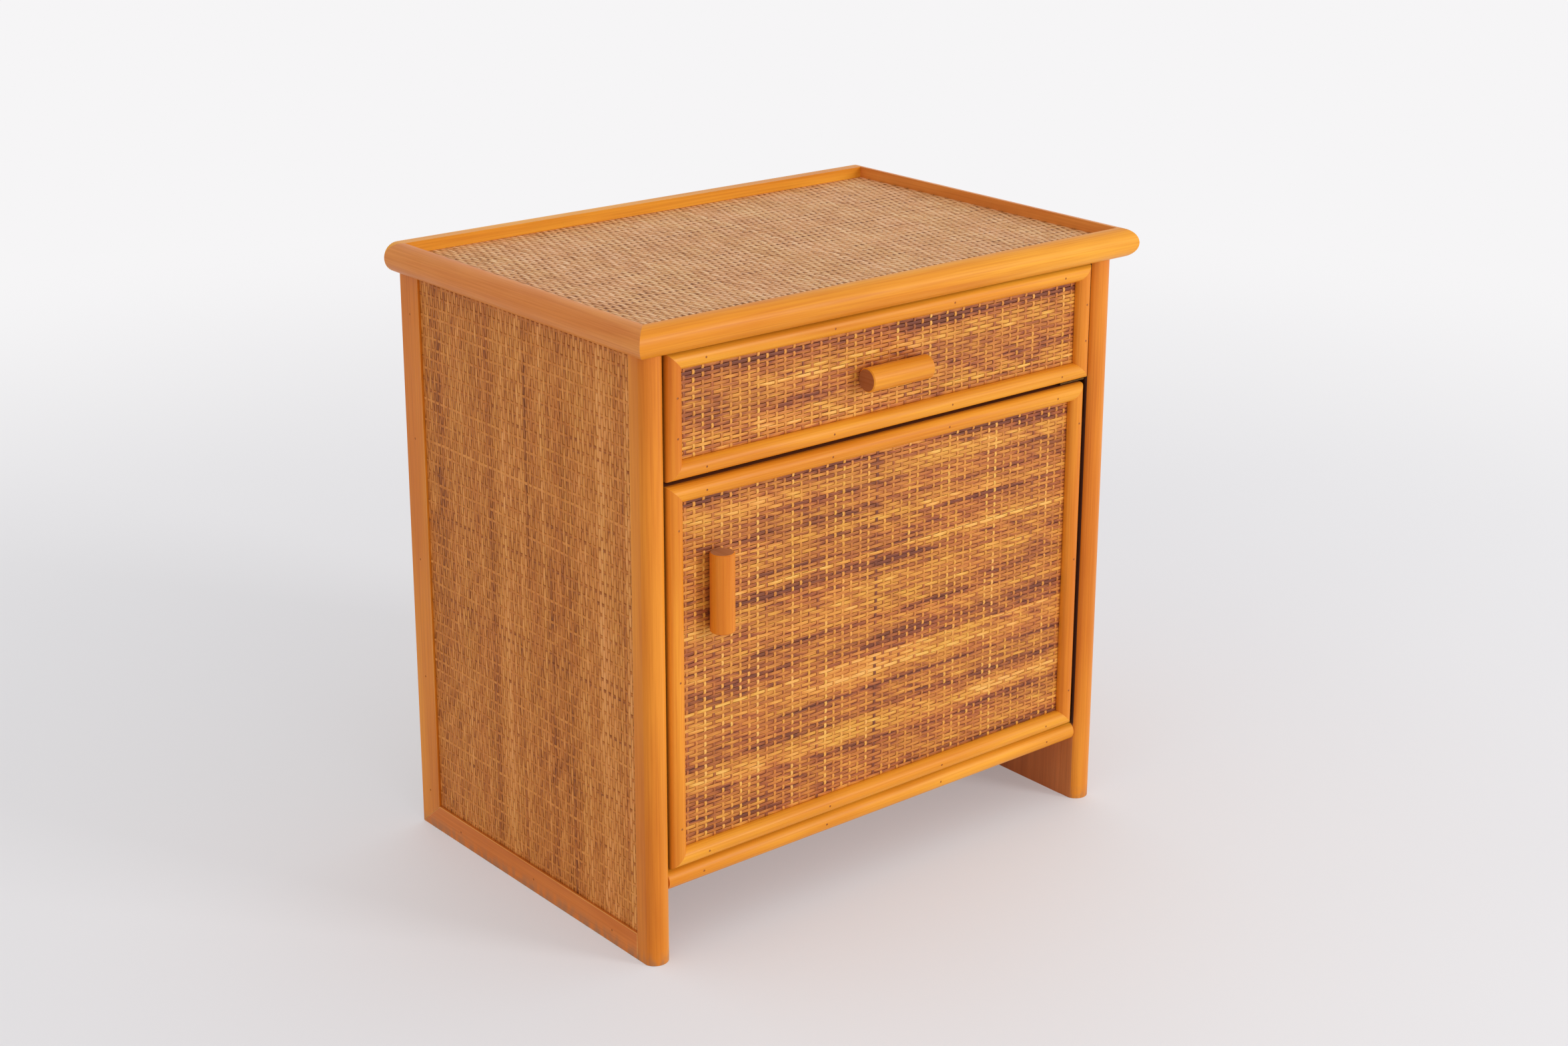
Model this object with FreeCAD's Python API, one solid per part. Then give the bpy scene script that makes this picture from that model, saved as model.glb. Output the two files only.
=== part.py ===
import FreeCAD, Part
import os

# Bedside cabinet: board panels faced with woven rattan, edged with round-nosed wooden mouldings.
# One drawer runs above one door. Millimetres, +Z up, the front faces -Y.
# The origin lies on the floor under the middle of the outer box.

Vector = FreeCAD.Vector
ACROSS = Vector(1, 0, 0)
INWARD = Vector(0, 1, 0)
UP = Vector(0, 0, 1)

# Whole cabinet
total_height = 582.5            # floor to the top of the rim
body_width = 550.0              # over the outer faces of the two sides
body_depth = 375.0              # front of the posts to the back

# Woven facing, laid in shallow recesses
weave_thickness = 2.0
side_weave_drop = 1.5           # below the faces of the side strips
top_weave_drop = 10.0           # below the top of the rim

# Rim of the top: half-round at the front and sides, square at the back
rim_width = 15.5
rim_height = 28.0
rim_round = 14.0
back_rim_width = 12.0
side_overhang = 15.5
front_overhang = 16.0

# Sides: round-nosed post in front, flat strips at the back and bottom
post_width = 24.0
post_depth = 22.0
post_round = 9.0
back_strip_width = 30.0
bottom_strip_height = 25.5

# Back panel in rebates of the side boards
back_panel_thickness = 5.0
back_panel_lap = 8.0
rebate_clearance = 0.25

# Underside
leg_clearance = 64.0            # floor to the underside of the rail
rail_height = 18.0
rail_depth = 24.0
rail_round = 8.0
rail_setback = 5.5              # crown of the rail behind the front of the posts
floor_panel_thickness = 16.0

# Drawer front and door: board, weave and a mitred half-round frame
front_board_thickness = 14.0
frame_width = 16.0
frame_lip = 2.0
frame_round = 8.0
frame_setback = 0.5             # crown of the frames behind the front of the posts
drawer_front_height = 111.0
drawer_top_gap = 3.0
drawer_door_gap = 4.5
door_rail_gap = 3.5
free_edge_gap = 2.5
hinge_edge_gap = 7.0

# Handles: short dowels with a flat seat
handle_diameter = 22.0
handle_length = 72.0
handle_flat = 1.0
handle_edge_break = 1.0
door_handle_inset = 52.0        # free edge of the door to the middle of the handle
door_handle_drop = 102.0        # top of the door to the middle of the handle
drawer_handle_drop = 60.0       # top of the drawer front to the middle of the handle
handle_screw_spacing = 40.0
handle_screw_hold = 16.0        # screw length inside the handle

# Divider between drawer and cupboard
divider_thickness = 12.0
divider_lift = 2.0              # above the top of the door
closing_gap = 0.5               # closed drawer front to the divider

# Cleats that hold the top
cleat_size = 14.0
cleat_end_gap = 6.0

# Drawer box on side runners
drawer_length = 310.0
drawer_side_thickness = 12.0
drawer_side_lift = 3.0          # above the divider
drawer_cleat_gap = 3.0          # below the cleats
drawer_back_thickness = 12.0
drawer_bottom_thickness = 4.0
drawer_bottom_rise = 6.0
drawer_groove_depth = 5.0
groove_clearance = 0.3
runner_height = 12.0
runner_width = 9.0
runner_clearance = 0.6
runner_end_gap = 2.0
drawer_travel = 250.0
stop_overlap = 5.0
stop_width = 40.0
stop_depth = 20.0
stop_clearance = 0.5

# Pivot hinges of the door
pivot_inset = 18.0              # hinge edge of the door to the pivot
pivot_diameter = 5.0
pivot_clearance = 0.05
bush_wall = 1.5
bush_length = 12.0
pin_end_gap = 1.0               # end of the pin to the bottom of its bush
bracket_thickness = 1.5
bracket_width = 14.0
bracket_leaf_length = 40.0
bracket_reach = 7.0             # lug beyond the pivot
lug_gap = 1.0                   # lug to the edge of the door
washer_play = 0.1
washer_diameter = 12.0

# Magnetic catch
catch_width = 40.0
catch_depth = 15.0
catch_height = 14.0
catch_inset = 40.0              # inner face of the left side to the catch
catch_gap = 0.2
strike_thickness = 1.2
strike_height = 10.0

# Fasteners
screw_diameter = 3.5
screw_head_diameter = 7.0
screw_head_depth = 1.8
screw_hold = 11.0               # screw length in the second piece
hinge_screw_hold = 16.0
catch_screw_hold = 8.0
nail_diameter = 1.8
nail_head_diameter = 4.0
nail_head_depth = 1.0
nail_hold = 14.0
pin_diameter = 1.8
pin_sink = 0.3                  # head of a moulding pin below the surface
pin_end_distance = 38.0
pin_spacing = 130.0
rail_pin_hold = 12.0            # pin length in the floor panel behind the rail
dowel_diameter = 8.0
drawer_dowel_diameter = 6.0
fastener_clearance = 0.1
cut_overrun = 5.0

# Depths and places of fasteners as shares of the piece that carries them
pin_hold_share = 0.4
dowel_hold_share = 0.5
dowel_board_share = 0.7
panel_dowel_shares = (0.15, 0.5, 0.85)
post_dowel_shares = (0.22, 0.52, 0.86)
cleat_top_screw_shares = (0.1, 0.46, 0.82)
cleat_side_screw_shares = (0.18, 0.54, 0.9)
runner_screw_shares = (0.08, 0.5, 0.92)
hinge_screw_shares = (0.3, 0.75)
catch_screw_shares = (0.2, 0.8)
drawer_dowel_shares = (0.2, 0.8)
side_nail_shares = (0.08, 0.36, 0.64, 0.92)
panel_nail_shares = (0.12, 0.5, 0.88)

# Levels
z_under_top = total_height - rim_height
z_drawer_top = z_under_top - drawer_top_gap
z_drawer_low = z_drawer_top - drawer_front_height
z_door_top = z_drawer_low - drawer_door_gap
z_rail_top = leg_clearance + rail_height
z_door_low = z_rail_top + door_rail_gap
z_floor_panel = z_rail_top - floor_panel_thickness
z_divider = z_door_top + divider_lift
z_divider_top = z_divider + divider_thickness
z_weave_top = total_height - top_weave_drop
z_cleat = z_under_top - cleat_size

# Widths
x_outer = body_width / 2
x_inner = x_outer - post_width
x_rim = x_outer + side_overhang
x_rim_in = x_rim - rim_width
x_front_edge = x_inner - free_edge_gap
x_hinge_edge = x_inner - hinge_edge_gap
x_pivot = x_hinge_edge - pivot_inset
strip_thickness = side_weave_drop + weave_thickness
side_board_thickness = post_width - strip_thickness
x_side_board = x_inner + side_board_thickness

# Depths; the handles or the front rim reach furthest forward
frame_height = frame_lip + frame_round
weave_setback = frame_setback + frame_height - weave_thickness
handle_reach = handle_diameter - handle_flat - weave_setback
y_back = (body_depth + max(front_overhang, handle_reach)) / 2
y_post = y_back - body_depth
y_post_back = y_post + post_depth
y_board = y_post + frame_setback + frame_height
y_weave = y_board - weave_thickness
y_board_back = y_board + front_board_thickness
y_pivot = y_board + front_board_thickness / 2
y_divider = y_board_back + closing_gap
y_back_panel = y_back - back_panel_thickness
y_rail = y_post + rail_setback
y_floor_panel = y_rail + rail_depth
y_rim = y_post - front_overhang
y_rim_in = y_rim + rim_width
y_rim_back = y_back - back_rim_width

# Drawer box
z_side_low = z_divider_top + drawer_side_lift
z_side_top = z_cleat - drawer_cleat_gap
z_bottom_low = z_side_low + drawer_bottom_rise
z_bottom_top = z_bottom_low + drawer_bottom_thickness
z_runner = (z_side_low + z_side_top - runner_height) / 2
y_box_end = y_board_back + drawer_length
y_box_back = y_box_end - drawer_back_thickness
x_box_in = x_front_edge - drawer_side_thickness

pieces = {}
bores = {}


def block(low, high):
    """Box between two opposite corners."""
    size = high - low
    return Part.makeBox(size.x, size.y, size.z, low)


def hand_block(hand, xs, ys, zs):
    """Box between pairs of places, on the left for hand -1 and on the right for hand 1."""
    x_low, x_high = sorted((hand * xs[0], hand * xs[1]))
    return block(Vector(x_low, ys[0], zs[0]), Vector(x_high, ys[1], zs[1]))


def prism(points, travel):
    """Solid swept along travel from the polygon through points."""
    return Part.Face(Part.makePolygon(points + points[:1])).extrude(travel)


def round_bar(corner, across, out, along, width, straight, rise):
    """Bar with a flat back, two straight flanks and an arched front."""
    far = corner + across * width
    far_shoulder = far + out * straight
    near_shoulder = corner + out * straight
    crown = corner + across * (width / 2) + out * (straight + rise)
    edges = [
        Part.LineSegment(corner, far),
        Part.LineSegment(far, far_shoulder),
        Part.Arc(far_shoulder, crown, near_shoulder),
        Part.LineSegment(near_shoulder, corner),
    ]
    outline = Part.Wire([edge.toShape() for edge in edges])
    return Part.Face(outline).extrude(along)


def spaced(start, end):
    """Even places between two ends, a fixed distance in from each."""
    first = start + pin_end_distance
    reach = end - pin_end_distance - first
    steps = max(1, round(reach / pin_spacing))
    return [first + reach * step / steps for step in range(steps + 1)]


def share_places(start, end, shares):
    """Places between two ends at the given shares of the way."""
    return [start + (end - start) * share for share in shares]


def bore(names, tool):
    """Note a hole to be cut from each named piece."""
    for name in names:
        bores.setdefault(name, []).append(tool)


def add_dowel(group, start, direction, diameter, length, through):
    """Round dowel hidden in two pieces."""
    pieces.setdefault(group, []).append(Part.makeCylinder(diameter / 2, length, start, direction))
    bore(through, Part.makeCylinder(diameter / 2 + fastener_clearance, length, start, direction))


def add_pin(group, start, direction, length, through):
    """Headless pin, sunk a little below the face that it is driven through."""
    radius = pin_diameter / 2
    head = start + direction * pin_sink
    pieces.setdefault(group, []).append(Part.makeCylinder(radius, length - pin_sink, head, direction))
    mouth = start - direction * cut_overrun
    bore(through, Part.makeCylinder(radius + fastener_clearance, cut_overrun + length, mouth, direction))


def add_screw(group, start, direction, length, through, sizes):
    """Countersunk screw or nail whose head is flush at start."""
    shank, head, depth = sizes
    cone = Part.makeCone(head / 2, shank / 2, depth, start, direction)
    pieces.setdefault(group, []).append(cone.fuse(Part.makeCylinder(shank / 2, length, start, direction)))
    mouth = Part.makeCylinder(head / 2, cut_overrun, start - direction * cut_overrun, direction)
    shaft = Part.makeCylinder(shank / 2 + fastener_clearance, length, start, direction)
    bore(through, mouth.fuse(cone).fuse(shaft))


SCREW = (screw_diameter, screw_head_diameter, screw_head_depth)
NAIL = (nail_diameter, nail_head_diameter, nail_head_depth)


def make_top():
    """Board with a woven face inside a mitred rim."""
    low = Vector(-x_rim_in, y_rim_in, z_under_top)
    z_board_top = z_weave_top - weave_thickness
    pieces["top_board"] = block(low, Vector(x_rim_in, y_rim_back, z_board_top))
    pieces["top_weave"] = block(
        Vector(-x_rim_in, y_rim_in, z_board_top), Vector(x_rim_in, y_rim_back, z_weave_top))
    rise = UP * rim_height
    flank = rim_width - rim_round
    front_plan = [
        Vector(-x_rim, y_rim, z_under_top), Vector(x_rim, y_rim, z_under_top),
        Vector(x_rim_in, y_rim_in, z_under_top), Vector(-x_rim_in, y_rim_in, z_under_top)]
    front = round_bar(
        Vector(-x_rim, y_rim_in, z_under_top), UP, -INWARD, ACROSS * (2 * x_rim),
        rim_height, flank, rim_round)
    pieces["top_front_nosing"] = front.common(prism(front_plan, rise))
    for side, hand in (("left", -1), ("right", 1)):
        plan = [
            Vector(hand * x_rim, y_rim, z_under_top), Vector(hand * x_rim, y_back, z_under_top),
            Vector(hand * x_rim_in, y_rim_back, z_under_top),
            Vector(hand * x_rim_in, y_rim_in, z_under_top)]
        bar = round_bar(
            Vector(hand * x_rim_in, y_rim, z_under_top), UP, ACROSS * hand,
            INWARD * (y_back - y_rim), rim_height, flank, rim_round)
        pieces[f"top_{side}_nosing"] = bar.common(prism(plan, rise))
    back_plan = [
        Vector(-x_rim_in, y_rim_back, z_under_top), Vector(x_rim_in, y_rim_back, z_under_top),
        Vector(x_rim, y_back, z_under_top), Vector(-x_rim, y_back, z_under_top)]
    strip = prism(back_plan, rise)
    for hand in (-1, 1):
        bar = round_bar(
            Vector(hand * x_rim_in, y_rim, z_under_top), UP, ACROSS * hand,
            INWARD * (y_back - y_rim), rim_height, flank, rim_round)
        corner = block(
            Vector(min(hand * x_rim_in, hand * x_rim), y_rim_back, z_under_top),
            Vector(max(hand * x_rim_in, hand * x_rim), y_back, total_height))
        strip = strip.cut(corner.cut(bar))
    pieces["top_back_strip"] = strip


def make_side(side, hand):
    """Side board with post, strips, weave and the cleat that holds the top."""
    def at(x, y, z):
        return Vector(hand * x, y, z)

    board = hand_block(hand, (x_inner, x_side_board), (y_post_back, y_back), (0, z_under_top))
    lap = back_panel_lap + rebate_clearance
    rebate = hand_block(
        hand, (x_inner - cut_overrun, x_inner + lap), (y_back_panel, y_back + cut_overrun),
        (-cut_overrun, z_under_top + cut_overrun))
    pieces[f"{side}_side_board"] = board.cut(rebate)
    pieces[f"{side}_front_post"] = round_bar(
        at(x_inner, y_post_back, 0), ACROSS * hand, -INWARD, UP * z_under_top,
        post_width, post_depth - post_round, post_round)
    y_strip = y_back - back_strip_width
    outward = ACROSS * (hand * strip_thickness)
    pieces[f"{side}_back_strip"] = prism(
        [at(x_side_board, y_back, 0), at(x_side_board, y_back, z_under_top),
         at(x_side_board, y_strip, z_under_top), at(x_side_board, y_strip, bottom_strip_height)],
        outward)
    pieces[f"{side}_bottom_strip"] = prism(
        [at(x_side_board, y_post_back, 0), at(x_side_board, y_back, 0),
         at(x_side_board, y_strip, bottom_strip_height),
         at(x_side_board, y_post_back, bottom_strip_height)],
        outward)
    pieces[f"{side}_side_weave"] = hand_block(
        hand, (x_side_board, x_side_board + weave_thickness), (y_post_back, y_strip),
        (bottom_strip_height, z_under_top))
    y_cleat = y_board_back + cleat_end_gap
    y_cleat_end = y_back_panel - cleat_end_gap
    pieces[f"{side}_top_cleat"] = hand_block(
        hand, (x_inner - cleat_size, x_inner), (y_cleat, y_cleat_end), (z_cleat, z_under_top))
    y_runner = y_board_back + runner_end_gap
    y_runner_end = y_back_panel - runner_end_gap
    pieces[f"{side}_drawer_runner"] = hand_block(
        hand, (x_inner - runner_width, x_inner), (y_runner, y_runner_end),
        (z_runner, z_runner + runner_height))

    board_name = f"{side}_side_board"
    outwards = ACROSS * hand
    cleat_name = f"{side}_top_cleat"
    for y in share_places(y_cleat, y_cleat_end, cleat_top_screw_shares):
        add_screw("panel_screws", at(x_inner - cleat_size / 2, y, z_cleat), UP,
                  cleat_size + screw_hold, (cleat_name, "top_board"), SCREW)
    for y in share_places(y_cleat, y_cleat_end, cleat_side_screw_shares):
        add_screw("panel_screws", at(x_inner - cleat_size, y, z_cleat + cleat_size / 2), outwards,
                  cleat_size + screw_hold, (cleat_name, board_name), SCREW)
    for y in share_places(y_runner, y_runner_end, runner_screw_shares):
        add_screw("panel_screws", at(x_inner - runner_width, y, z_runner + runner_height / 2), outwards,
                  runner_width + screw_hold, (f"{side}_drawer_runner", board_name), SCREW)
    board_hold = side_board_thickness * dowel_board_share
    for panel, y_front, z_mid in (
            ("divider_panel", y_divider, z_divider + divider_thickness / 2),
            ("floor_panel", y_floor_panel, z_floor_panel + floor_panel_thickness / 2)):
        for y in share_places(y_front, y_back_panel, panel_dowel_shares):
            add_dowel("panel_dowels", at(x_inner - board_hold, y, z_mid), outwards, dowel_diameter,
                      2 * board_hold, (panel, board_name))
    x_mid = (x_inner + x_side_board) / 2
    post_hold = post_depth * dowel_hold_share
    for z in share_places(0, z_under_top, post_dowel_shares):
        add_dowel("panel_dowels", at(x_mid, y_post_back - post_hold, z), INWARD,
                  dowel_diameter, 2 * post_hold, (f"{side}_front_post", board_name))
    pin_length = strip_thickness + side_board_thickness * pin_hold_share
    for z in spaced(0, z_under_top):
        add_pin("carcass_pins", at(x_outer, y_back - back_strip_width / 2, z), -outwards,
                pin_length, (f"{side}_back_strip", board_name))
    for y in spaced(y_post_back, y_strip):
        add_pin("carcass_pins", at(x_outer, y, bottom_strip_height / 2), -outwards,
                pin_length, (f"{side}_bottom_strip", board_name))
    x_nail = x_inner + back_panel_lap / 2
    for z in share_places(z_floor_panel, z_under_top, side_nail_shares):
        add_screw("back_panel_nails", at(x_nail, y_back, z), -INWARD,
                  back_panel_thickness + nail_hold, ("back_panel", board_name), NAIL)


def make_inner_panels():
    """Floor, divider, back, bottom rail and the block that stops the drawer."""
    pieces["floor_panel"] = block(
        Vector(-x_inner, y_floor_panel, z_floor_panel), Vector(x_inner, y_back_panel, z_rail_top))
    pieces["divider_panel"] = block(
        Vector(-x_inner, y_divider, z_divider), Vector(x_inner, y_back_panel, z_divider_top))
    x_back = x_inner + back_panel_lap
    pieces["back_panel"] = block(
        Vector(-x_back, y_back_panel, z_floor_panel), Vector(x_back, y_back, z_under_top))
    pieces["bottom_rail"] = round_bar(
        Vector(-x_inner, y_floor_panel, leg_clearance), UP, -INWARD, ACROSS * (2 * x_inner),
        rail_height, rail_depth - rail_round, rail_round)
    y_stop = y_box_back - drawer_travel - stop_clearance
    z_stop = z_side_top - stop_overlap
    pieces["drawer_stop_block"] = block(
        Vector(-stop_width / 2, y_stop - stop_depth, z_stop),
        Vector(stop_width / 2, y_stop, z_under_top))
    add_screw("panel_screws", Vector(0, y_stop - stop_depth / 2, z_stop), UP,
              z_under_top - z_stop + screw_hold, ("drawer_stop_block", "top_board"), SCREW)
    for x in spaced(-x_inner, x_inner):
        add_pin("carcass_pins", Vector(x, y_rail, leg_clearance + rail_height / 2), INWARD,
                rail_depth + rail_pin_hold, ("bottom_rail", "floor_panel"))
    for panel, z in (
            ("floor_panel", z_floor_panel + floor_panel_thickness / 2),
            ("divider_panel", z_divider + divider_thickness / 2)):
        for x in share_places(-x_inner, x_inner, panel_nail_shares):
            add_screw("back_panel_nails", Vector(x, y_back, z), -INWARD,
                      back_panel_thickness + nail_hold, ("back_panel", panel), NAIL)


def make_front(name, x_low, x_high, z_low, z_high):
    """Board with a woven face inside a mitred half-round frame."""
    pieces[f"{name}_board"] = block(
        Vector(x_low, y_board, z_low), Vector(x_high, y_board_back, z_high))
    pieces[f"{name}_weave"] = block(
        Vector(x_low + frame_width, y_weave, z_low + frame_width),
        Vector(x_high - frame_width, y_board, z_high - frame_width))
    width = x_high - x_low
    height = z_high - z_low
    outer = [Vector(x_low, y_board, z_low), Vector(x_high, y_board, z_low),
             Vector(x_high, y_board, z_high), Vector(x_low, y_board, z_high)]
    inner = [Vector(x_low + frame_width, y_board, z_low + frame_width),
             Vector(x_high - frame_width, y_board, z_low + frame_width),
             Vector(x_high - frame_width, y_board, z_high - frame_width),
             Vector(x_low + frame_width, y_board, z_high - frame_width)]
    runs = (("bottom", outer[0], UP, ACROSS * width), ("right", outer[1], -ACROSS, UP * height),
            ("top", outer[2], -UP, -ACROSS * width), ("left", outer[3], ACROSS, -UP * height))
    for index, (edge, corner, across, along) in enumerate(runs):
        after = (index + 1) % len(runs)
        plan = [outer[index], outer[after], inner[after], inner[index]]
        bar = round_bar(corner, across, -INWARD, along, frame_width, frame_lip, frame_round)
        pieces[f"{name}_frame_{edge}"] = bar.common(prism(plan, -INWARD * frame_height))
        heading = Vector(along).normalize()
        crown = corner + across * (frame_width / 2) - INWARD * frame_height
        pin_length = frame_height + front_board_thickness * pin_hold_share
        for place in spaced(0, along.Length):
            add_pin(f"{name}_pins", crown + heading * place, INWARD, pin_length,
                    (f"{name}_frame_{edge}", f"{name}_board"))


def make_handle(name, middle, along):
    """Dowel handle on the weave, with two screws from behind."""
    radius = handle_diameter / 2
    start = middle - INWARD * (radius - handle_flat) - along * (handle_length / 2)
    dowel = Part.makeCylinder(radius, handle_length, start, along)
    rims = [edge for edge in dowel.Edges if isinstance(edge.Curve, Part.Circle)]
    dowel = dowel.makeChamfer(handle_edge_break, rims)
    side_reach = (ACROSS + UP) * (handle_length + radius)
    behind = block(middle - side_reach, middle + side_reach + INWARD * radius)
    pieces[f"{name}_handle"] = dowel.cut(behind)
    length = front_board_thickness + weave_thickness + handle_screw_hold
    for sign in (-1, 1):
        place = middle + along * (sign * handle_screw_spacing / 2)
        head = Vector(place.x, y_board_back, place.z)
        add_screw(f"{name}_screws", head, -INWARD, length,
                  (f"{name}_board", f"{name}_weave", f"{name}_handle"), SCREW)


def make_drawer():
    """Drawer front with a grooved box that hangs on the runners."""
    make_front("drawer", -x_front_edge, x_front_edge, z_drawer_low, z_drawer_top)
    make_handle("drawer", Vector(0, y_weave, z_drawer_top - drawer_handle_drop), ACROSS)
    z_groove = z_bottom_low - groove_clearance
    z_groove_top = z_bottom_top + groove_clearance
    runner_slot = runner_width - free_edge_gap + runner_clearance
    for side, hand in (("left", -1), ("right", 1)):
        wall = hand_block(
            hand, (x_box_in, x_front_edge), (y_board_back, y_box_end), (z_side_low, z_side_top))
        groove_run = (y_board_back, y_box_end + cut_overrun)
        bottom_groove = hand_block(
            hand, (x_box_in - cut_overrun, x_box_in + drawer_groove_depth + groove_clearance),
            groove_run, (z_groove, z_groove_top))
        runner_groove = hand_block(
            hand, (x_front_edge - runner_slot, x_front_edge + cut_overrun), groove_run,
            (z_runner - runner_clearance, z_runner + runner_height + runner_clearance))
        pieces[f"drawer_{side}_side"] = wall.cut([bottom_groove, runner_groove])
        x_dowel = hand * (x_box_in + x_front_edge) / 2
        y_mid_back = (y_box_back + y_box_end) / 2
        front_hold = front_board_thickness * dowel_hold_share
        side_hold = drawer_side_thickness * dowel_hold_share
        for z in share_places(z_bottom_top, z_side_top, drawer_dowel_shares):
            add_dowel("drawer_dowels", Vector(x_dowel, y_board_back - front_hold, z), INWARD,
                      drawer_dowel_diameter, 2 * front_hold, ("drawer_board", f"drawer_{side}_side"))
            add_dowel("drawer_dowels", Vector(hand * (x_box_in - side_hold), y_mid_back, z),
                      ACROSS * hand, drawer_dowel_diameter, 2 * side_hold,
                      ("drawer_back", f"drawer_{side}_side"))
    pieces["drawer_back"] = block(
        Vector(-x_box_in, y_box_back, z_bottom_top), Vector(x_box_in, y_box_end, z_side_top))
    x_bottom = x_box_in + drawer_groove_depth
    pieces["drawer_bottom"] = block(
        Vector(-x_bottom, y_board_back, z_bottom_low), Vector(x_bottom, y_box_end, z_bottom_top))


def make_door():
    """Door with its handle and the strike plate of the catch."""
    make_front("door", -x_front_edge, x_hinge_edge, z_door_low, z_door_top)
    x_handle = door_handle_inset - x_front_edge
    make_handle("door", Vector(x_handle, y_weave, z_door_top - door_handle_drop), UP)
    x_catch = catch_inset - x_inner
    z_catch = z_divider - catch_height
    z_strike = z_catch + (z_door_top - z_catch - strike_height) / 2
    y_strike = y_board_back + strike_thickness
    pieces["catch_strike"] = block(
        Vector(x_catch, y_board_back, z_strike),
        Vector(x_catch + catch_width, y_strike, z_strike + strike_height))
    strike_middle = Vector(x_catch + catch_width / 2, y_strike, z_strike + strike_height / 2)
    add_screw("door_screws", strike_middle, -INWARD, strike_thickness + catch_screw_hold,
              ("catch_strike", "door_board"), SCREW)
    y_catch = y_strike + catch_gap
    pieces["magnet_catch"] = block(
        Vector(x_catch, y_catch, z_catch),
        Vector(x_catch + catch_width, y_catch + catch_depth, z_divider))
    for x in share_places(x_catch, x_catch + catch_width, catch_screw_shares):
        add_screw("panel_screws", Vector(x, y_catch + catch_depth / 2, z_catch), UP,
                  catch_height + catch_screw_hold, ("magnet_catch", "divider_panel"), SCREW)


def make_hinge(name, z_edge, away):
    """Pivot hinge: fixed bracket with a pin that turns in a bush in the door."""
    outward = UP * away
    pivot = Vector(x_pivot, y_pivot, z_edge)
    y_low = y_pivot - bracket_width / 2
    y_high = y_pivot + bracket_width / 2
    z_lug = z_edge + away * lug_gap
    z_lug_far = z_lug + away * bracket_thickness
    lug_levels = sorted((z_lug, z_lug_far))
    leaf_levels = sorted((z_lug_far, z_lug_far - away * bracket_leaf_length))
    x_leaf = x_inner + bracket_thickness
    lug = block(
        Vector(x_pivot - bracket_reach, y_low, lug_levels[0]), Vector(x_leaf, y_high, lug_levels[1]))
    leaf = block(Vector(x_inner, y_low, leaf_levels[0]), Vector(x_leaf, y_high, leaf_levels[1]))
    pieces[f"{name}_hinge_bracket"] = lug.fuse(leaf).removeSplitter()
    bore(("right_front_post", "right_side_board"), leaf)
    pin_length = bracket_thickness + lug_gap + bush_length - pin_end_gap
    pin_start = Vector(x_pivot, y_pivot, z_lug_far)
    pin = Part.makeCylinder(pivot_diameter / 2, pin_length, pin_start, -outward)
    pieces.setdefault("hinge_pivots", []).append(pin)
    bore((f"{name}_hinge_bracket",), pin)
    bush_radius = pivot_diameter / 2 + pivot_clearance + bush_wall
    shell = Part.makeCylinder(bush_radius, bush_length, pivot, -outward)
    hollow = Part.makeCylinder(pivot_diameter / 2 + pivot_clearance, bush_length, pivot, -outward)
    pieces.setdefault("hinge_bushes", []).append(shell.cut(hollow))
    bore(("door_board",), shell)
    for z in share_places(leaf_levels[0], leaf_levels[1], hinge_screw_shares):
        add_screw("hinge_screws", Vector(x_inner, y_pivot, z), ACROSS,
                  bracket_thickness + hinge_screw_hold,
                  (f"{name}_hinge_bracket", "right_front_post"), SCREW)


def make_hinge_washer():
    """Thrust washer that carries the door on the lower bracket."""
    seat = Vector(x_pivot, y_pivot, z_door_low - lug_gap)
    washer = Part.makeCylinder(washer_diameter / 2, lug_gap - washer_play, seat)
    hole = Part.makeCylinder(pivot_diameter / 2 + pivot_clearance, lug_gap, seat)
    pieces["hinge_washer"] = washer.cut(hole)


make_top()
make_side("left", -1)
make_side("right", 1)
make_inner_panels()
make_drawer()
make_door()
make_hinge("upper", z_door_top, 1)
make_hinge("lower", z_door_low, -1)
make_hinge_washer()

for name, tools in bores.items():
    pieces[name] = pieces[name].cut(tools)

os.makedirs("parts", exist_ok=True)
for name, shape in pieces.items():
    solid = Part.makeCompound(shape) if isinstance(shape, list) else shape
    solid.exportStep(f"parts/{name}.step")
print(len(pieces), "nodes written")
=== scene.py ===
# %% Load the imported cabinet
import math
import bmesh
import bpy
import numpy as np
from mathutils import Matrix, Vector


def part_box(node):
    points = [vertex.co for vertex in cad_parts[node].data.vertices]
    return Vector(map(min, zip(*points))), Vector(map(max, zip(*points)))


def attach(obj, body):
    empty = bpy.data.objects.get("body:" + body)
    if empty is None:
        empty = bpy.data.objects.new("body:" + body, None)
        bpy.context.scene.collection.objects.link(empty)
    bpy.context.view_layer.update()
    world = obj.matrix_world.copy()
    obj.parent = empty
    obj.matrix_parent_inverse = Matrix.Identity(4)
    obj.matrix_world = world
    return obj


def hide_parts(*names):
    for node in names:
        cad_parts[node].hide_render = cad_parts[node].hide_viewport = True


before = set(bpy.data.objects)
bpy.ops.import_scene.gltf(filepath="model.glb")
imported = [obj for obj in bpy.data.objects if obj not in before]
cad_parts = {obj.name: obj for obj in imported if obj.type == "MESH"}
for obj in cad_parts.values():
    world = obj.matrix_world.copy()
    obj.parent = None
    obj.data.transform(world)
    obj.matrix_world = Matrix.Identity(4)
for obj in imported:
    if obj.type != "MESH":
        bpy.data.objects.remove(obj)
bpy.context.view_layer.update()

MM = 0.001
scene = bpy.context.scene

# %% [markdown]
# # A rattan bedside cabinet
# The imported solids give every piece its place: boards, posts, mouldings, handles, hinges and screws.
# This lesson dresses them. The honey-coloured wood gets softened edges and grain, the flat stand-ins
# for the mats become real woven strands, and the hidden boards and metal get plain working finishes.

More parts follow.
